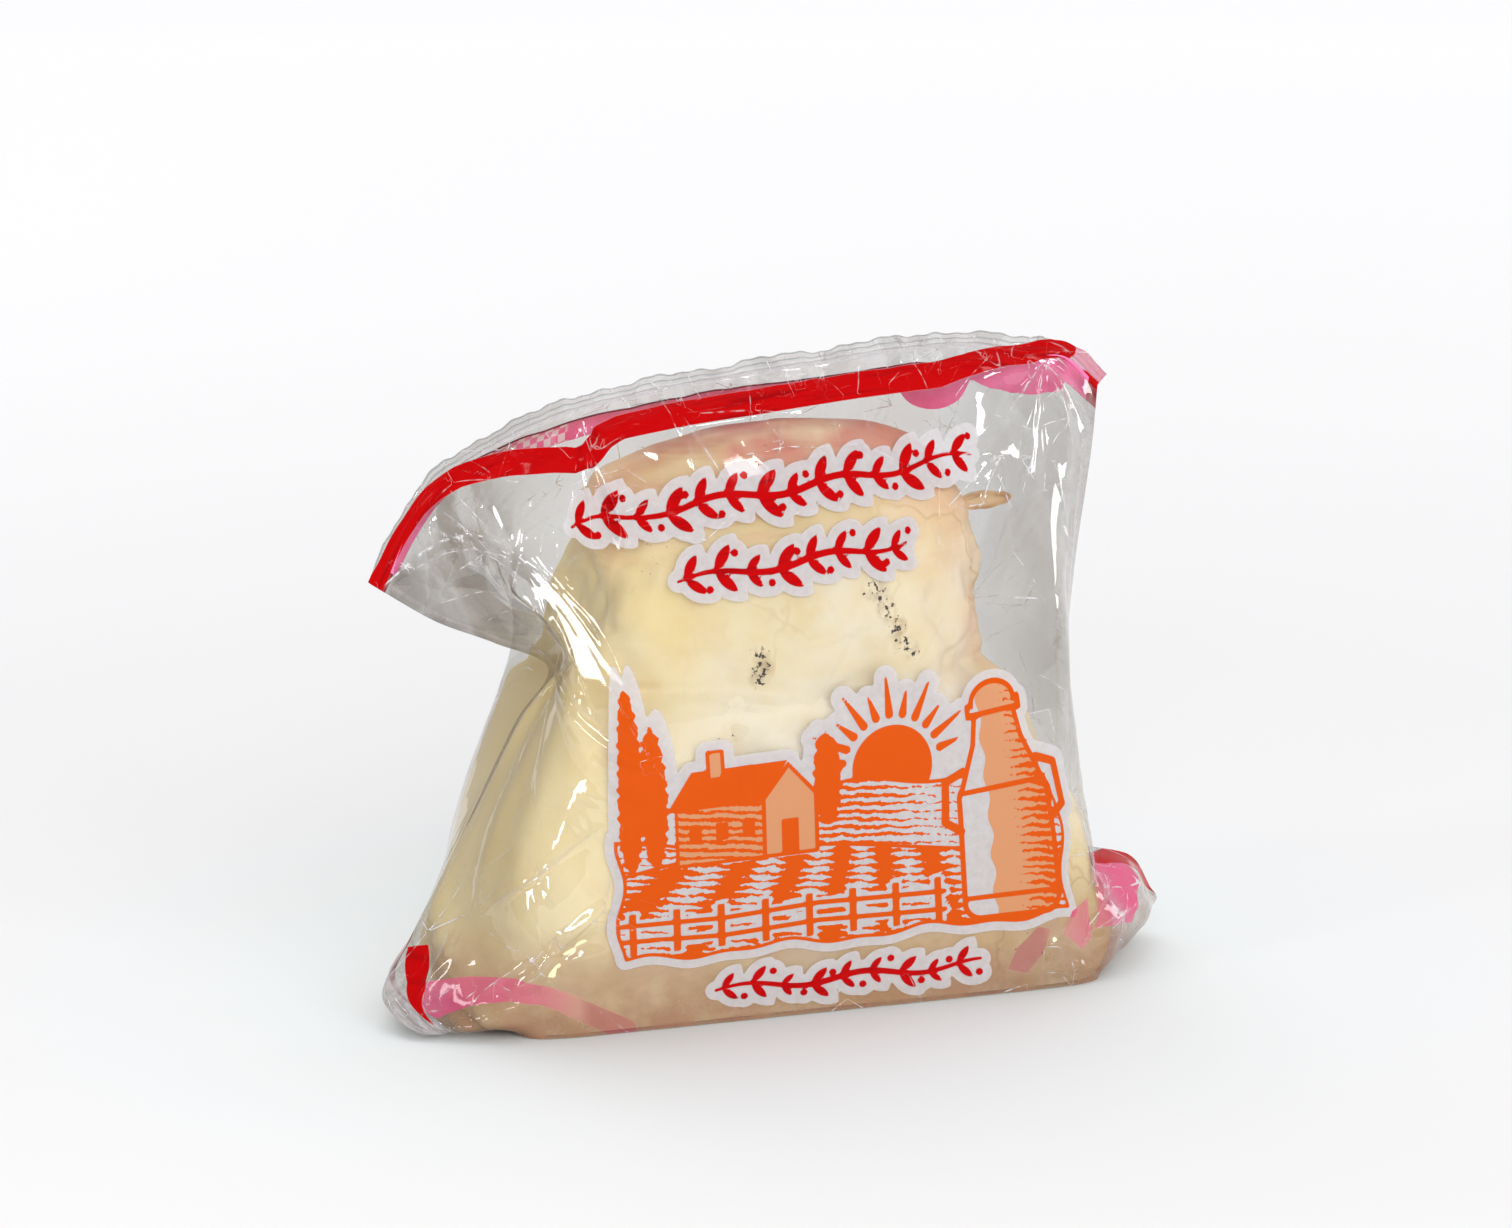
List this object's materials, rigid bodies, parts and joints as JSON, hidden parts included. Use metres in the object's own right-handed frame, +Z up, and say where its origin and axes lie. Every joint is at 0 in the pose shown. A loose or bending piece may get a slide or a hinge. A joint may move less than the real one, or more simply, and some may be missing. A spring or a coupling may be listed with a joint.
{
  "type": "bagged smoked provola",
  "caption": "Smoked provola cheese shut in a clear printed film bag that stands on its folded base, with a crimped top seal and film ears at the corners.",
  "frame": {"origin": "middle of the flat base, where the bag stands on the floor", "axes": "+X along the bag's width to the right of its printed front, +Y from the front to the back, +Z up"},
  "size_m": [0.1799, 0.0628, 0.134],
  "materials": {
    "film": "clear glossy crinkled film",
    "cheese": "smooth moist rind, cream with smoky tan patches",
    "print": "glossy ink on film"
  },
  "bodies": {
    "root": {"bag": "film"}
  },
  "joints": []
}
